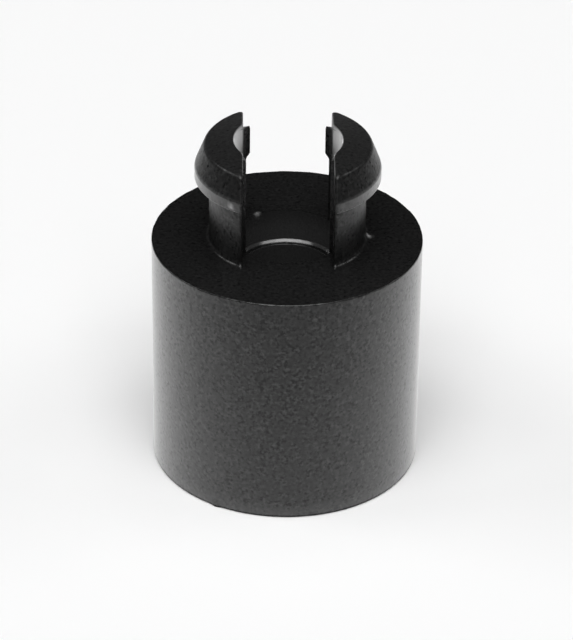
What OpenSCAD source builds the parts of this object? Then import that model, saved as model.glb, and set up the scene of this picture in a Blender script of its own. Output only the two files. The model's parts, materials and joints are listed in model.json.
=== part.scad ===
// Snap-in circuit board support.
// One moulding in black plastic: a round spacer body, and on it a hollow stem that a slot splits
// into two springy prongs. The board's hole snaps over the barbs and the board rests on the seat.
// Millimetres, +Z up. The origin is the centre of the base that stands on the chassis.

/* [Body] */
// Outer diameter of the spacer body
body_d = 6.95; // [5.8:0.05:9]
// Height of the body, from its base to the seat under the board
body_h = 6.35; // [3:0.05:16]
// Edge break round the base
base_edge = 0.06; // [0.03:0.01:0.2]
// Radius of the rounded rim round the seat
rim_radius = 0.04; // [0.02:0.01:0.2]

/* [Stem] */
// Diameter of the neck that fills the board's hole
neck_d = 4; // [3.7:0.05:4.6]
// Straight height of the neck, which is the thickness of the board it holds
neck_h = 1.59; // [0.6:0.01:3]
// Fillet where the neck stands on the seat
root_fillet = 0.15; // [0.04:0.01:0.3]

/* [Barbs] */
// How far each barb stands out past the neck
barb_reach = 0.37; // [0.15:0.01:0.6]
// Height of the sloping underside that catches the board
barb_under_h = 0.21; // [0.1:0.01:1]
// Height of the straight land at the widest place
barb_land_h = 0.26; // [0.05:0.01:0.8]
// Height of the tapered lead-in above the land
lead_h = 0.63; // [0.3:0.01:1]
// How far the lead-in draws in from the land to the ridge at its top
lead_in = 0.25; // [0.1:0.01:0.28]
// Rise of the prong's top from that ridge to the mouth of the bore
crown_h = 0.13; // [0.04:0.01:0.3]

/* [Slot] */
// Width of the slot that splits the stem
slot_w = 2.28; // [1.9:0.02:2.5]
// How far the sharp lips beside the bore stand into the slot
lip_reach = 0.13; // [0.04:0.01:0.3]
// How far below the mouth of the bore the lips stop
lip_drop = 0.08; // [0.03:0.01:0.4]

/* [Bore] */
// Diameter of the upper bore, inside the stem
stem_bore_d = 2.74; // [2.6:0.02:3]
// Depth below the seat of the flat ledge at which the upper bore meets the lower one
stem_bore_depth = 0.93; // [0.4:0.01:2]
// Chamfer in the corner of that ledge, left by the edge of the core pin
ledge_chamfer = 0.07; // [0.03:0.01:0.1]
// Diameter of the lower bore, for the fixing screw
screw_bore_d = 2.4; // [1.8:0.05:2.4]

/* [Hidden] */
$fn = 96;
// Overrun of every cut past the faces it passes through, and of the stem into the body
over = 1;

body_r = body_d / 2;
neck_r = neck_d / 2;
barb_r = neck_r + barb_reach;
ridge_r = barb_r - lead_in;
stem_bore_r = stem_bore_d / 2;
screw_bore_r = screw_bore_d / 2;

// Heights above the base, in the order in which the stem climbs
ledge_z = body_h - stem_bore_depth;
neck_top = body_h + neck_h;
barb_bottom = neck_top + barb_under_h;
land_top = barb_bottom + barb_land_h;
ridge_z = land_top + lead_h;
mouth_z = ridge_z + crown_h;
lip_top = mouth_z - lip_drop;

// Distance from the axis at which each end of the slot stops, so that the lips reach as far as they should
lip_y = sqrt(pow(stem_bore_r, 2) - pow(slot_w / 2 - lip_reach, 2));

// Half section of the body: upright wall, broken edge at the base, round rim at the seat
module body_section() {
    rim_r = body_r - rim_radius;
    rim_z = body_h - rim_radius;
    polygon([[0, 0], [body_r - base_edge, 0], [body_r, base_edge], [body_r, rim_z],
             [rim_r, rim_z], [rim_r, body_h], [0, body_h]]);
    intersection() {
        translate([rim_r, rim_z]) circle(rim_radius);
        translate([rim_r, rim_z]) square(over);
    }
}

// Half section of the whole stem before it is split: neck, barb, lead-in, crowned top and root fillet
module stem_section() {
    polygon([[0, body_h - over], [neck_r, body_h - over], [neck_r, neck_top],
             [barb_r, barb_bottom], [barb_r, land_top], [ridge_r, ridge_z],
             [stem_bore_r, mouth_z], [0, mouth_z]]);
    difference() {
        translate([neck_r - root_fillet, body_h - root_fillet]) square(2 * root_fillet);
        translate([neck_r + root_fillet, body_h + root_fillet]) circle(root_fillet);
    }
}

// A cut of the slot's width, from a place along the slot out past the stem, and up from a given height
module slot_cut(start_y, start_z) {
    translate([-slot_w / 2, start_y, start_z])
        cube([slot_w, barb_r + over - start_y, mouth_z + over - start_z]);
}

// The slot: it comes in from both sides as far as the lips, and runs right across above them
module slot() {
    for (turn = [0, 180])
        rotate(turn) slot_cut(lip_y, body_h - 2 * over);
    slot_cut(-barb_r - over, lip_top);
}

// The stem, split down to the seat
module prongs() {
    difference() {
        rotate_extrude() stem_section();
        slot();
    }
}

// Upper bore, flat ledge with its chamfered corner, and lower bore on one axis
module bores() {
    rotate_extrude()
        polygon([[0, -over], [screw_bore_r, -over], [screw_bore_r, ledge_z],
                 [stem_bore_r - ledge_chamfer, ledge_z], [stem_bore_r, ledge_z + ledge_chamfer],
                 [stem_bore_r, mouth_z + over], [0, mouth_z + over]]);
}

module board_support() {
    color([0.05, 0.05, 0.05])
        difference() {
            union() {
                rotate_extrude() body_section();
                prongs();
            }
            bores();
        }
}

board_support();
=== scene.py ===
import json
import math

import bmesh
import bpy
import numpy as np
from mathutils import Matrix, Vector


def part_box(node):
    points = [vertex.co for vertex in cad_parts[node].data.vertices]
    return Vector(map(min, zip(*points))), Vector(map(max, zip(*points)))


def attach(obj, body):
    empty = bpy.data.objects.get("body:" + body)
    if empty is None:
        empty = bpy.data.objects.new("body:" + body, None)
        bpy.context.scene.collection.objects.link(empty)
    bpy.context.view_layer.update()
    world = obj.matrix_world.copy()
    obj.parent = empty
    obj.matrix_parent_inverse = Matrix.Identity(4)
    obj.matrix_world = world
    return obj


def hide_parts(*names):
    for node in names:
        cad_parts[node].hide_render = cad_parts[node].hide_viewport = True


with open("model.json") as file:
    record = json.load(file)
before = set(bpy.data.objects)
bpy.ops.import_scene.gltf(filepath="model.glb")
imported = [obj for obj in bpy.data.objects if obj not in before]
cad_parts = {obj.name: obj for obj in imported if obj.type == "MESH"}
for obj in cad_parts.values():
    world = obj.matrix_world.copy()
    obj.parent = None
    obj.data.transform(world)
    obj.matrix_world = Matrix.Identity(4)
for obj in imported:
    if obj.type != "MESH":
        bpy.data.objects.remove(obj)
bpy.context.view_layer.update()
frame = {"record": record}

# Spacer body and bore
# The real piece is one injection moulding in black nylon. Its body is a plain round post with a crisp rim
# round the seat, and a core pin from each end left a stepped bore with a small ledge where the pins met.

MM = 0.001
mounts = {mount["name"]: mount for mount in frame["record"]["mounts"]}
node_low, node_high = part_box("board_support")
body_radius = (node_high.y - node_low.y) / 2
seat_height = mounts["snap_stem"]["pos_m"][2]
rim_rounding = 0.04 * MM
base_rounding = 0.06 * MM

screw_bore_radius = mounts["screw_bore"]["dims"]["r_mm"] * MM
stem_bore_radius = 1.37 * MM
ledge_foot = mounts["screw_bore"]["dims"]["length_mm"] * MM
ledge_chamfer = 0.07 * MM
ledge_edge_rounding = 0.02 * MM
ledge_corner_rounding = 0.015 * MM

neck_radius = mounts["snap_stem"]["dims"]["r_mm"] * MM
root_fillet = 0.15 * MM
foot_radius = neck_radius + root_fillet
slot_half_width = 1.14 * MM
slot_corner = 0.06 * MM
lip_reach_low = 0.08 * MM

arc_columns = 64
gap_columns = 40
round_columns = 4
face_columns = 10
lip_columns = 3


def rounded_section(corners, run_step, arc_steps=6, guard=0.02 * MM):
    """Points (radius, height) down a section given as corners (radius, height, rounding).

    A corner gives way to an arc that is tangent to both runs: its tangent length is the rounding times the
    tangent of half the turn, and its points swing evenly from one tangent point to the other. A run between
    two arcs is cut into equal steps, with one more point a guard length from each end to keep it flat. Two
    arcs with no run between them share the point where they meet.
    """
    spots = np.array(corners, float)
    pieces = [spots[:1, :2]]
    for before, corner, after in zip(spots[:-2], spots[1:-1], spots[2:]):
        to_before = before[:2] - corner[:2]
        to_after = after[:2] - corner[:2]
        to_before = to_before / np.linalg.norm(to_before)
        to_after = to_after / np.linalg.norm(to_after)
        turn = np.pi - np.arccos(np.clip(to_before @ to_after, -1, 1))
        start = corner[:2] + to_before * corner[2] * np.tan(turn / 2)
        end = corner[:2] + to_after * corner[2] * np.tan(turn / 2)
        middle = to_before + to_after
        centre = corner[:2] + middle / np.linalg.norm(middle) * corner[2] / np.cos(turn / 2)
        swing = np.linspace(0, 1, arc_steps + 1)[:, None]
        arc = centre + (np.sin((1 - swing) * turn) * (start - centre)
                        + np.sin(swing * turn) * (end - centre)) / np.sin(turn)
        pieces.append(arc)
    pieces.append(spots[-1:, :2])
    points = [pieces[0]]
    for before, after in zip(pieces[:-1], pieces[1:]):
        run = after[0] - before[-1]
        length = np.linalg.norm(run)
        if length > 1e-9:
            steps = np.linspace(0, length, max(2, int(np.ceil(length / run_step))) + 1)
            if length > 4 * guard:
                steps = np.sort(np.concatenate([steps, [guard, length - guard]]))
            points.append(before[-1] + run * (steps[1:-1, None] / length))
            points.append(after)
        else:
            points.append(after[1:])
    return np.concatenate(points)


def slot_side(outer_radius, half_width, bore_radius, lip_half):
    """One side face of a prong in plan, from its outer arc to the bore, for each row of sizes.

    A small round takes the outer arc into the slot's face: its centre lies one round's radius inside both.
    The face then runs along the slot to the lip, and the lip's face crosses to where it meets the bore.
    """
    inset = half_width + slot_corner
    centre_y = np.sqrt((outer_radius - slot_corner) ** 2 - inset ** 2)
    start = np.arctan2(centre_y, inset)
    lip_y = np.sqrt(bore_radius ** 2 - lip_half ** 2)
    swing = start[:, None] + (np.pi - start)[:, None] * np.linspace(0, 1, round_columns + 1)
    round_x = inset[:, None] + slot_corner * np.cos(swing)
    round_y = centre_y[:, None] + slot_corner * np.sin(swing)
    along = np.linspace(0, 1, face_columns + 1)[1:]
    face_x = np.repeat(half_width[:, None], along.size, 1)
    face_y = centre_y[:, None] + (lip_y - centre_y)[:, None] * along
    across = np.linspace(0, 1, lip_columns + 1)[1:]
    lip_x = half_width[:, None] + (lip_half - half_width)[:, None] * across
    lip_line = np.repeat(lip_y[:, None], across.size, 1)
    return np.concatenate([round_x, face_x, lip_x], 1), np.concatenate([round_y, face_y, lip_line], 1)


def ring_angles(prong_angle):
    """Angles round a ring in four spans: right prong, back gap, left prong, front gap.

    Each prong spans the same angle to both sides of its own middle.
    """
    spans = np.cumsum([0, arc_columns, gap_columns, arc_columns, gap_columns])
    knots = np.array([-prong_angle, prong_angle, np.pi - prong_angle, np.pi + prong_angle,
                      2 * np.pi - prong_angle])
    return np.interp(np.arange(spans[-1]), spans, knots)


one_row = np.ones(1)
foot_x, foot_y = slot_side(foot_radius * one_row, slot_half_width * one_row, stem_bore_radius * one_row,
                           (slot_half_width - lip_reach_low) * one_row)
foot_angle = np.arctan2(foot_y[0, 0], foot_x[0, 0])
lip_angle = np.arccos((slot_half_width - lip_reach_low) / stem_bore_radius)

body_section = rounded_section([
    (foot_radius, seat_height, 0),
    (body_radius, seat_height, rim_rounding),
    (body_radius, 0, base_rounding),
    (screw_bore_radius, 0, base_rounding),
    (screw_bore_radius, ledge_foot, ledge_edge_rounding),
    (stem_bore_radius - ledge_chamfer, ledge_foot, ledge_corner_rounding),
    (stem_bore_radius, ledge_foot + ledge_chamfer, ledge_corner_rounding),
    (stem_bore_radius, seat_height, 0),
], run_step=0.1 * MM)


def rim_wear(columns):
    """How full the rim's rounding is at each column, from 0.4 to 1.3.

    It follows random heights, each of them evened with the one before it.
    """
    heights = np.random.RandomState(11).rand(columns)
    return 0.4 + 0.9 * (0.65 * heights + 0.35 * np.roll(heights, 1))


def body_skin():
    """The section carried round the axis, from the stem's foot over the wall and base and up the bore.

    The columns keep to the prongs' foot corners on the outside and slide over to the lips' edges as the
    section crosses the base, so that the top of the bore meets the prongs point for point. The points of the
    rim's rounding move in or out from the rim's corner by the wear.
    """
    steps = np.linalg.norm(np.diff(body_section, axis=0), axis=1)
    walked = np.concatenate([[0], np.cumsum(steps)])
    base_start = body_radius - foot_radius + seat_height
    slide = np.clip((walked - base_start) / (body_radius - screw_bore_radius), 0, 1)[:, None]
    slide[-1] = 1
    turn = ring_angles(foot_angle) * (1 - slide)
    turn = turn + ring_angles(lip_angle) * slide
    inwards = body_radius - body_section[:, :1]
    downwards = seat_height - body_section[:, 1:]
    on_rim = np.hypot(inwards, downwards) < 1.01 * rim_rounding
    wear = np.where(on_rim, rim_wear(turn.shape[1]), 1)
    radius = body_radius - inwards * wear
    height = seat_height - downwards * wear
    return np.stack([radius * np.cos(turn), radius * np.sin(turn), height], -1)


# Slot floors
# The seat runs on between the prongs at both ends of the slot, as far as the bore. It is part of the same
# moulding, and the slot was formed by blades that shut on the seat.


def slot_floor(end):
    """Concentric arcs on the seat from one prong's side face to the other's, from the foot in to the bore.

    Each point of the side face gives an arc's radius and where it starts, and the arc ends at its mirror.
    The floor lies at the back of the slot for end 1 and at the front for -1.
    """
    radius = np.hypot(foot_x[0], foot_y[0])[:, None]
    start = np.arctan2(foot_y[0], foot_x[0])[:, None]
    turn = start + (np.pi - 2 * start) * np.linspace(0, 1, gap_columns + 1)
    height = np.full_like(turn, seat_height)
    return np.stack([radius * np.cos(turn), end * radius * np.sin(turn), height], -1)


# Barbed prongs
# Two springy prongs stand on the seat, moulded with the body: a straight neck for the board, a barb with a
# sloping underside, a tapered lead-in and a nearly flat top. Thin lips of flash line the bore at the slot.

neck_length = mounts["snap_stem"]["dims"]["length_mm"] * MM
barb_reach = 0.37 * MM
barb_underside = 0.21 * MM
barb_land = 0.26 * MM
lead_rise = 0.63 * MM
lead_draw = 0.25 * MM
crown_rise = 0.13 * MM

underside_rounding = 0.05 * MM
barb_rounding = 0.03 * MM
land_rounding = 0.04 * MM
ridge_rounding = 0.04 * MM
mouth_rounding = 0.03 * MM
top_rounding = 0.07 * MM
top_steps = 6

lip_reach_high = 0.18 * MM
lip_drop = 0.08 * MM
lip_taper = 0.09 * MM
lip_step_height = 8.18 * MM
lip_step_run = 0.07 * MM

barb_radius = neck_radius + barb_reach
ridge_radius = barb_radius - lead_draw
neck_top = seat_height + neck_length
barb_foot = neck_top + barb_underside
land_top = barb_foot + barb_land
mouth_height = node_high.z
ridge_height = mouth_height - crown_rise
crown_slope = crown_rise / (ridge_radius - stem_bore_radius)
lead_slope = lead_draw / lead_rise


def crown_height(radius):
    """Height of the prong's top: it rises evenly from the ridge in to the mouth of the bore."""
    return ridge_height + crown_slope * (ridge_radius - radius)


def lead_radius(depth):
    """Radius of the tapered lead-in at a depth below the line of the crown."""
    return ridge_radius + lead_slope * depth / (1 - lead_slope * crown_slope)


def smooth_step(low, high, value):
    """Rises from 0 at low to 1 at high, level at both ends."""
    share = np.clip((value - low) / (high - low), 0, 1)
    return share * share * (3 - 2 * share)


def prong_rows():
    """Sizes of the prong's plan from the seat up.

    They are the outer radius, the slot's half width, the bore's radius, the heights at the outer arc and at
    the bore, and the half widths between the front lips and between the back lips. The outer radius follows
    the section. The last rows round the top: the depth below the crown falls as one minus a sine while every
    outline draws in as one minus a cosine, each by its own rounding. The back lips widen above a step.
    """
    shoulder_radius = lead_radius(top_rounding)
    shoulder_height = crown_height(shoulder_radius) - top_rounding
    section = rounded_section([
        (foot_radius, seat_height, 0),
        (neck_radius, seat_height, root_fillet),
        (neck_radius, neck_top, underside_rounding),
        (barb_radius, barb_foot, barb_rounding),
        (barb_radius, land_top, land_rounding),
        (shoulder_radius, shoulder_height, 0),
    ], run_step=0.09 * MM, guard=0.015 * MM)
    swing = np.linspace(0, np.pi / 2, top_steps + 1)[1:]
    depth = top_rounding * (1 - np.sin(swing))
    draw = 1 - np.cos(swing)
    top_outer = lead_radius(depth) - ridge_rounding * draw
    top_bore = stem_bore_radius + mouth_rounding * draw
    stretch = (mouth_height - top_rounding - seat_height) / (shoulder_height - seat_height)
    rise = section[:, 1] - seat_height
    straight = np.ones(len(section))
    outer = np.concatenate([section[:, 0], top_outer])
    half_width = np.concatenate([slot_half_width * straight, slot_half_width + top_rounding * draw])
    bore = np.concatenate([stem_bore_radius * straight, top_bore])
    outer_height = np.concatenate([section[:, 1], crown_height(top_outer) - depth])
    bore_height = np.concatenate([seat_height + rise * stretch, crown_height(top_bore) - depth])
    lip_end = mouth_height - lip_drop
    ends = 1 - smooth_step(lip_end - lip_taper, lip_end, bore_height)
    spread = smooth_step(lip_step_height - lip_step_run, lip_step_height + lip_step_run, bore_height)
    low_lip = lip_reach_low * ends
    high_lip = (lip_reach_low + (lip_reach_high - lip_reach_low) * spread) * ends
    return outer, half_width, bore, outer_height, bore_height, half_width - low_lip, half_width - high_lip


def prong_skin(side):
    """One prong's walls: its plan outline carried up the rows, right prong for side 1 and left for -1.

    The outline runs along the outer arc, in along the back side face, round the bore and out along the
    front side face. Height goes evenly with radius from the outer arc to the bore.
    """
    outer, half_width, bore, outer_height, bore_height, front_lip, back_lip = prong_rows()
    back_x, back_y = slot_side(outer, half_width, bore, back_lip)
    front_x, front_y = slot_side(outer, half_width, bore, front_lip)
    outer_angle = np.arctan2(back_y[:, :1], back_x[:, :1])
    back_angle = np.arctan2(back_y[:, -1:], back_x[:, -1:])
    front_angle = np.arctan2(front_y[:, -1:], front_x[:, -1:])
    span = np.linspace(0, 1, arc_columns + 1)[:-1]
    outer_turn = -outer_angle + 2 * outer_angle * span
    bore_turn = back_angle - (back_angle + front_angle) * span
    x = np.concatenate([outer[:, None] * np.cos(outer_turn), back_x[:, :-1],
                        bore[:, None] * np.cos(bore_turn), front_x[:, :0:-1]], 1)
    y = np.concatenate([outer[:, None] * np.sin(outer_turn), back_y[:, :-1],
                        bore[:, None] * np.sin(bore_turn), -front_y[:, :0:-1]], 1)
    inward = (outer[:, None] - np.hypot(x, y)) / (outer - bore)[:, None]
    z = outer_height[:, None] + (bore_height - outer_height)[:, None] * inward
    return np.stack([side * x, y, z], -1)


def prong_top(side):
    """One prong's top: arcs about the axis between its two side faces, from the ridge in to the bore."""
    outer, half_width, bore, *_, back_lip = [size[-1:] for size in prong_rows()]
    side_x, side_y = slot_side(outer, half_width, bore, back_lip)
    radius = np.hypot(side_x[0], side_y[0])[:, None]
    start = np.arctan2(side_y[0], side_x[0])[:, None]
    turn = -start + 2 * start * np.linspace(0, 1, arc_columns + 1)
    z = np.repeat(crown_height(radius), arc_columns + 1, 1)
    return np.stack([side * radius * np.cos(turn), radius * np.sin(turn), z], -1)


# The moulding as one closed skin
# All of it is one shot of plastic, so the walls, floors and tops are sewn into one closed mesh, with sharp
# edges left only where the mould's halves and cores met. Its satin finish differs with the tool's faces, and
# light is painted into its colour in places.


def grid_faces(rows, columns, closed, first):
    """Quads over a grid of points stored row by row from an index; a closed grid joins its last column."""
    across = columns if closed else columns - 1
    corner = np.arange(rows - 1)[:, None] * columns + np.arange(across)
    beside = np.arange(rows - 1)[:, None] * columns + (np.arange(across) + 1) % columns
    return first + np.stack([corner, beside, beside + columns, corner + columns], -1).reshape(-1, 4)


def sewn_mesh(name, patches, seam=1e-7, sharp_angle=math.radians(40)):
    """One mesh from grids of points: their shared edges are merged and all faces are turned outwards."""
    points = []
    faces = []
    count = 0
    for grid, closed in patches:
        points.append(grid.reshape(-1, 3))
        faces.append(grid_faces(grid.shape[0], grid.shape[1], closed, count))
        count += grid.shape[0] * grid.shape[1]
    mesh = bpy.data.meshes.new(name)
    mesh.from_pydata(np.concatenate(points).tolist(), [], np.concatenate(faces).tolist())
    work = bmesh.new()
    work.from_mesh(mesh)
    bmesh.ops.remove_doubles(work, verts=work.verts, dist=seam)
    bmesh.ops.recalc_face_normals(work, faces=work.faces)
    work.to_mesh(mesh)
    work.free()
    mesh.polygons.foreach_set("use_smooth", np.ones(len(mesh.polygons), bool))
    mesh.set_sharp_from_angle(angle=sharp_angle)
    return mesh


def mesh_points(mesh):
    """The places of a mesh's points, one row each."""
    place = np.empty(len(mesh.vertices) * 3)
    mesh.vertices.foreach_get("co", place)
    return place.reshape(-1, 3)


moulding_mesh = sewn_mesh("board_support_moulding", [
    (body_skin(), True),
    (slot_floor(-1), False),
    (slot_floor(1), False),
    (prong_skin(1), True),
    (prong_skin(-1), True),
    (prong_top(1), False),
    (prong_top(-1), False),
])

# Small marks, each as x, y, z, width and height: a burr on the bore's mouth and one on the base's edge,
# and a speck on a land and one on a root
small_marks = MM * np.array([
    (-0.76, 1.14, 6.34, 0.06, 0.03),
    (-1.81, -2.97, 0.03, 0.12, 0.04),
    (-1.43, -1.89, 8.27, 0.065, 0.03),
    (2.08, -0.02, 6.40, 0.07, 0.03),
])


def raise_marks(mesh, marks):
    """Lifts the points near each mark along their normals by a bell curve of their distance from it.

    No point goes below the plane that the part stands on.
    """
    place = mesh_points(mesh)
    normal = np.empty(len(mesh.vertices) * 3)
    mesh.vertex_normals.foreach_get("vector", normal)
    distance = np.linalg.norm(place[:, None] - marks[None, :, :3], axis=2)
    lift = (marks[:, 4] * np.exp(-(distance / marks[:, 3]) ** 2)).sum(1)
    place = place + normal.reshape(-1, 3) * lift[:, None]
    place[:, 2] = np.maximum(place[:, 2], 0)
    mesh.vertices.foreach_set("co", place.ravel())
    mesh.update()


raise_marks(moulding_mesh, small_marks)

blend = 0.02 * MM
foot_band = 0.5 * MM
bore_light_depth = 0.6 * MM
mouth_depth = 0.8 * MM
neck_haze_rise = 0.7 * MM
ledge_highlight_reach = 0.55 * MM
ledge_highlight_fade = 0.17 * MM


def finish_and_painted_light(place):
    """Roughness, gloss, haze and paleness for every point, by the part of the tool that moulded it.

    Each mask is 1 on its own face and fades to 0 beside it, and each finish is a weighted sum of masks. The
    outer wall comes from a matt cavity: it is rougher and duller, has a haze at a low angle and, by painted
    light, is paler towards its foot, above a dull broken edge. The bore between the prongs comes from a
    polished pin, and is glossy at its mouth, with a painted highlight that makes it pale there. Painted
    light also pales the bore deeper down, more towards the ledge and less below it. Worn edges are smoother,
    the back of the ledge carries a painted highlight as a paler arc, and the small marks are paler.
    """
    x, y, height = place.T
    radius = np.hypot(x, y)
    up_wall = height / seat_height
    over_ledge = height - ledge_foot

    wall = smooth_step(body_radius - rim_rounding, body_radius - 0.2 * rim_rounding, radius)
    base_edge = 1 - smooth_step(0.5 * base_rounding, 1.4 * base_rounding, height)
    base_edge = base_edge * (radius > foot_radius)
    plain_wall = wall * (1 - base_edge)
    # Painted light: the wall's colour is paler towards its foot, and most in a band just above the broken
    # edge
    foot = plain_wall * (1 - smooth_step(0.2 * foot_band, foot_band, height))
    from_rim = np.hypot(radius - body_radius, height - seat_height)
    worn_rim = 1 - smooth_step(rim_rounding, 1.4 * rim_rounding, from_rim)

    bore = 1 - smooth_step(stem_bore_radius, stem_bore_radius + 1.5 * blend, radius)
    # Painted light in the bore: its colour is paler deeper down, less below the ledge, and not at all at the
    # seat's edge or on the ledge's flat
    bore_painted_light = 1 - 0.5 * smooth_step(seat_height - bore_light_depth, seat_height, height)
    bore_painted_light = bore_painted_light * (1 - smooth_step(seat_height - blend, seat_height, height))
    bore_painted_light = bore_painted_light * (0.75 + 0.25 * smooth_step(-2.5 * blend, 0, over_ledge))
    bore_painted_light = bore_painted_light * smooth_step(0, 0.2 * ledge_chamfer, np.abs(over_ledge))
    ledge = bore * (1 - smooth_step(2.5 * blend, 5 * blend, np.abs(over_ledge - ledge_chamfer / 2)))
    # Painted highlight: a paler arc on the ledge's chamfer at the back of the bore, standing in for a glint
    # from the lamps
    painted_ledge_highlight = bore * smooth_step(0, 0.2 * ledge_chamfer, over_ledge)
    painted_ledge_highlight = painted_ledge_highlight * (1 - smooth_step(0.8 * ledge_chamfer, ledge_chamfer, over_ledge))
    painted_ledge_highlight = painted_ledge_highlight * (1 - smooth_step(ledge_highlight_reach, ledge_highlight_reach + ledge_highlight_fade, np.abs(x))) * (y > 0)

    stem = smooth_step(seat_height + 0.5 * root_fillet, seat_height + root_fillet, height)
    inside_prong = smooth_step(slot_half_width - 0.5 * blend, slot_half_width + blend, np.abs(x))
    pin_mark = bore * stem * inside_prong
    # At the prongs' mouths the bore is glossier and carries a painted highlight: a paler colour near the top
    pin_mouth = pin_mark * smooth_step(mouth_height - mouth_depth, mouth_height - 0.25 * mouth_depth, height)
    land = smooth_step(barb_radius - blend, barb_radius - 0.25 * blend, radius) * stem * (1 - wall)
    neck = smooth_step(neck_radius - 0.5 * blend, neck_radius - 0.1 * blend, radius)
    neck = neck * (1 - smooth_step(neck_radius, neck_radius + blend, radius))
    upper_neck = neck * smooth_step(seat_height + neck_haze_rise, neck_top, height)
    upper_neck = upper_neck * (height < neck_top + 2.5 * blend)
    crown = smooth_step(ridge_height - 1.5 * blend, ridge_height, height) * (1 - pin_mark)
    from_root = np.hypot(radius - neck_radius, height - seat_height)
    worn_root = inside_prong * (1 - smooth_step(0.8 * root_fillet, 1.1 * root_fillet, from_root))

    from_mark = np.linalg.norm(place[:, None] - small_marks[None, :, :3], axis=2) / small_marks[:, 3]
    # The small marks are paler in colour
    mark = np.exp(-from_mark ** 2).max(1) * (height > 10 * blend)

    roughness = 0.36 + 0.06 * wall - 0.26 * pin_mark - 0.14 * ledge - 0.14 * worn_rim - 0.08 * worn_root
    gloss = 0.6 * pin_mouth + 0.03 * ledge + 0.3 * worn_rim - 0.3 * base_edge - wall * (0.07 + 0.1 * up_wall)
    haze = plain_wall * (1 - worn_rim) + 0.9 * land + 0.72 * upper_neck + pin_mark + 0.12 * crown
    # Paleness: painted light in the bore, painted highlights at the prongs' mouths and on the ledge, paler
    # small marks, and painted light paling the wall towards its foot
    pale = 0.075 * bore * bore_painted_light + 0.5 * pin_mouth + 0.75 * painted_ledge_highlight + 0.8 * mark
    pale = pale + 0.02 * plain_wall * (1 - up_wall) + 0.05 * foot
    return {"finish_roughness": roughness, "finish_gloss": gloss, "finish_haze": haze, "finish_pale": pale}


for layer_name, layer_values in finish_and_painted_light(mesh_points(moulding_mesh)).items():
    layer = moulding_mesh.attributes.new(layer_name, "FLOAT", "POINT")
    layer.data.foreach_set("value", layer_values)
moulding = bpy.data.objects.new("board_support_moulding", moulding_mesh)
bpy.context.scene.collection.objects.link(moulding)

nylon = bpy.data.materials.new("black_nylon_moulded")
nylon.use_nodes = True
nodes = nylon.node_tree.nodes
links = nylon.node_tree.links
nylon_shader = nodes["Principled BSDF"]
nylon_shader.inputs["IOR"].default_value = 1.5
nylon_shader.inputs["Sheen Roughness"].default_value = 0.45
coordinates = nodes.new("ShaderNodeTexCoord")


def point_layer(name):
    """One of the values that the mesh carries on its points, among them the finishes and the paleness with
    its painted light.
    """
    reader = nodes.new("ShaderNodeAttribute")
    reader.attribute_name = name
    return reader.outputs["Fac"]


def grain_noise(scale, detail, roughness):
    """A cloudy pattern in the moulding's own coordinates, with about scale patches to the metre."""
    noise = nodes.new("ShaderNodeTexNoise")
    noise.inputs["Scale"].default_value = scale
    noise.inputs["Detail"].default_value = detail
    noise.inputs["Roughness"].default_value = roughness
    links.new(coordinates.outputs["Object"], noise.inputs["Vector"])
    return noise.outputs["Fac"]


def carried_over(value, low, high, new_low, new_high):
    """A value carried evenly from the range low to high over to a new range, and held at its ends."""
    carrier = nodes.new("ShaderNodeMapRange")
    carrier.inputs["From Min"].default_value = low
    carrier.inputs["From Max"].default_value = high
    carrier.inputs["To Min"].default_value = new_low
    carrier.inputs["To Max"].default_value = new_high
    links.new(value, carrier.inputs["Value"])
    return carrier.outputs["Result"]


links.new(point_layer("finish_roughness"), nylon_shader.inputs["Roughness"])
links.new(point_layer("finish_haze"), nylon_shader.inputs["Sheen Weight"])

# The colour is a black that varies with the grain, mixed towards grey by the paleness of each point, which
# is painted light in the bore, painted highlights at the prongs' mouths and on the back of the ledge, and
# painted light paling the wall towards its foot, besides the paler small marks
grain = grain_noise(11000, 3, 0.55)
grain_tint = nodes.new("ShaderNodeValToRGB")
grain_tint.color_ramp.elements[0].position = 0.3
grain_tint.color_ramp.elements[0].color = (0.005, 0.005, 0.005, 1)
grain_tint.color_ramp.elements[1].position = 0.7
grain_tint.color_ramp.elements[1].color = (0.01, 0.01, 0.01, 1)
links.new(grain, grain_tint.inputs["Fac"])
tint = nodes.new("ShaderNodeMix")
tint.data_type = "RGBA"
tint.inputs["B"].default_value = (0.5, 0.5, 0.5, 1)
links.new(point_layer("finish_pale"), tint.inputs["Factor"])
links.new(grain_tint.outputs["Color"], tint.inputs["A"])
links.new(tint.outputs["Result"], nylon_shader.inputs["Base Color"])

# The grain shows mainly in the gloss, more in some patches than in others, and lifts the surface a little
patch_share = carried_over(grain_noise(6500, 1, 0.5), 0.36, 0.66, 0.15, 1)
patchy_gloss = nodes.new("ShaderNodeMix")
patchy_gloss.inputs["A"].default_value = 0.31
links.new(patch_share, patchy_gloss.inputs["Factor"])
links.new(carried_over(grain, 0.34, 0.66, 0, 0.66), patchy_gloss.inputs["B"])
gloss = nodes.new("ShaderNodeMath")
gloss.operation = "ADD"
links.new(patchy_gloss.outputs["Result"], gloss.inputs[0])
links.new(point_layer("finish_gloss"), gloss.inputs[1])
links.new(gloss.outputs["Value"], nylon_shader.inputs["Specular IOR Level"])
grain_bump = nodes.new("ShaderNodeBump")
grain_bump.inputs["Strength"].default_value = 0.6
grain_bump.inputs["Distance"].default_value = 0.004 * MM
links.new(patchy_gloss.outputs["Result"], grain_bump.inputs["Height"])
links.new(grain_bump.outputs["Normal"], nylon_shader.inputs["Normal"])

moulding.data.materials.append(nylon)
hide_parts("board_support")
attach(moulding, "root")

# Floor
# A wide round sheet of card lies under the part. It is white round the part and grey further out, past the
# camera's own view, a painted shade in place of light falling off away from the lamps. It is flat but for
# its edge, which turns up so that a low view still ends on card.

card_radius = 0.5
card_lip = 0.05
card_gap = 0.002 * MM
flat_share = 0.8
white_radius = 28 * MM
grey_radius = 80 * MM


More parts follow.
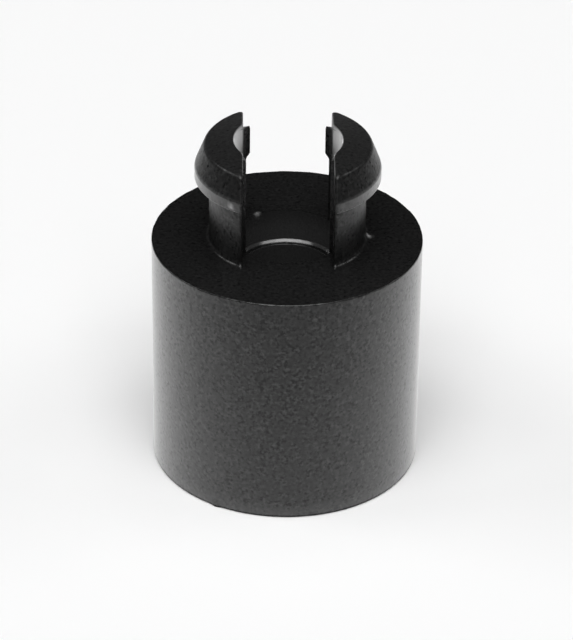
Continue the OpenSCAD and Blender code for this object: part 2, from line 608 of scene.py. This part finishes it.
def card_sheet():
    """Rings about the axis: flat out to a share of the radius, then rising with the square of the rest."""
    share = np.concatenate([np.linspace(0, 0.3, 31), np.linspace(0.32, flat_share, 13),
                            np.linspace(0.82, 1, 10)])
    turn = np.linspace(0, 2 * np.pi, 97)[None, :-1]
    rise = card_lip * (np.clip(share - flat_share, 0, None) / (1 - flat_share)) ** 2
    radius = (card_radius * share)[:, None]
    return np.stack([radius * np.cos(turn), radius * np.sin(turn), rise[:, None] + 0 * turn - card_gap], -1)


card_mesh = sewn_mesh("floor_card", [(card_sheet(), True)])
card_x, card_y, card_z = mesh_points(card_mesh).T
card_grey = card_mesh.attributes.new("card_grey", "FLOAT", "POINT")
card_grey.data.foreach_set("value", smooth_step(white_radius, grey_radius, np.hypot(card_x, card_y)))
card = bpy.data.objects.new("floor_card", card_mesh)
bpy.context.scene.collection.objects.link(card)
card_paper = bpy.data.materials.new("white_card")
card_paper.use_nodes = True
card_shader = card_paper.node_tree.nodes["Principled BSDF"]
card_shader.inputs["Roughness"].default_value = 0.9
card_shader.inputs["Specular IOR Level"].default_value = 0.1
card_shade = card_paper.node_tree.nodes.new("ShaderNodeAttribute")
card_shade.attribute_name = "card_grey"
card_tint = card_paper.node_tree.nodes.new("ShaderNodeValToRGB")
card_tint.color_ramp.elements[0].color = (0.95, 0.95, 0.95, 1)
card_tint.color_ramp.elements[1].color = (0.22, 0.22, 0.22, 1)
card_paper.node_tree.links.new(card_shade.outputs["Fac"], card_tint.inputs["Fac"])
card_paper.node_tree.links.new(card_tint.outputs["Color"], card_shader.inputs["Base Color"])
card.data.materials.append(card_paper)

# Light
# Soft lamps as round a product table: a deep one in front, one at each shoulder, one at each side and a
# fill overhead, in a dim even surround. The white card lights the sides of the part from below.


def soft_lamp(name, place, width, depth, power):
    """A rectangular area lamp at a place, facing the part."""
    lamp = bpy.data.lights.new(name, "AREA")
    lamp.shape = "RECTANGLE"
    lamp.size = width
    lamp.size_y = depth
    lamp.energy = power
    holder = bpy.data.objects.new(name, lamp)
    holder.location = place
    holder.rotation_euler = (-Vector(place)).to_track_quat("-Z", "Y").to_euler()
    bpy.context.scene.collection.objects.link(holder)


soft_lamp("front_softbox", (0, -0.75, 1.2), width=1.0, depth=1.2, power=13.9)
soft_lamp("left_shoulder_softbox", (-0.62, -0.57, 1.14), width=0.6, depth=0.3, power=2.2)
soft_lamp("right_shoulder_softbox", (0.62, -0.57, 1.14), width=0.6, depth=0.3, power=1.6)
soft_lamp("left_softbox", (-1.1, 0.12, 0.75), width=0.7, depth=0.3, power=3.0)
soft_lamp("right_softbox", (1.1, 0.12, 0.75), width=0.7, depth=0.3, power=2.0)
soft_lamp("overhead_softbox", (0, 0.1, 1.4), width=1.0, depth=1.0, power=4.6)

world = bpy.data.worlds.new("dim_surround")
world.use_nodes = True
world.node_tree.nodes["Background"].inputs["Color"].default_value = (0.02, 0.02, 0.02, 1)
world.node_tree.nodes["Background"].inputs["Strength"].default_value = 1
bpy.context.scene.world = world

# Camera
# A long lens looks down from in front, about 30 degrees above the seat. It stands a little to the left and
# is held with a slight tilt.

camera_rise = math.radians(29.80)
camera_turn = math.radians(0.9)
camera_tilt = math.radians(0.69)
camera_distance = 86.92 * MM
aim_point = Vector((-0.008, -1.069, 4.482)) * MM

camera_data = bpy.data.cameras.new("camera")
camera_data.lens = 191.0
camera_data.sensor_width = 36
camera_data.clip_start = 0.005
camera_data.clip_end = 10
camera = bpy.data.objects.new("camera", camera_data)
bpy.context.scene.collection.objects.link(camera)
bpy.context.scene.camera = camera
back_way = Vector((-math.sin(camera_turn) * math.cos(camera_rise),
                   -math.cos(camera_turn) * math.cos(camera_rise), math.sin(camera_rise)))
camera.location = Vector((0, 0, seat_height)) + back_way * camera_distance
looking = (aim_point - camera.location).to_track_quat("-Z", "Y")
camera.rotation_mode = "QUATERNION"
camera.rotation_quaternion = looking @ Matrix.Rotation(camera_tilt, 3, "Z").to_quaternion()

bpy.context.scene.view_settings.view_transform = "Standard"

bpy.context.view_layer.update()
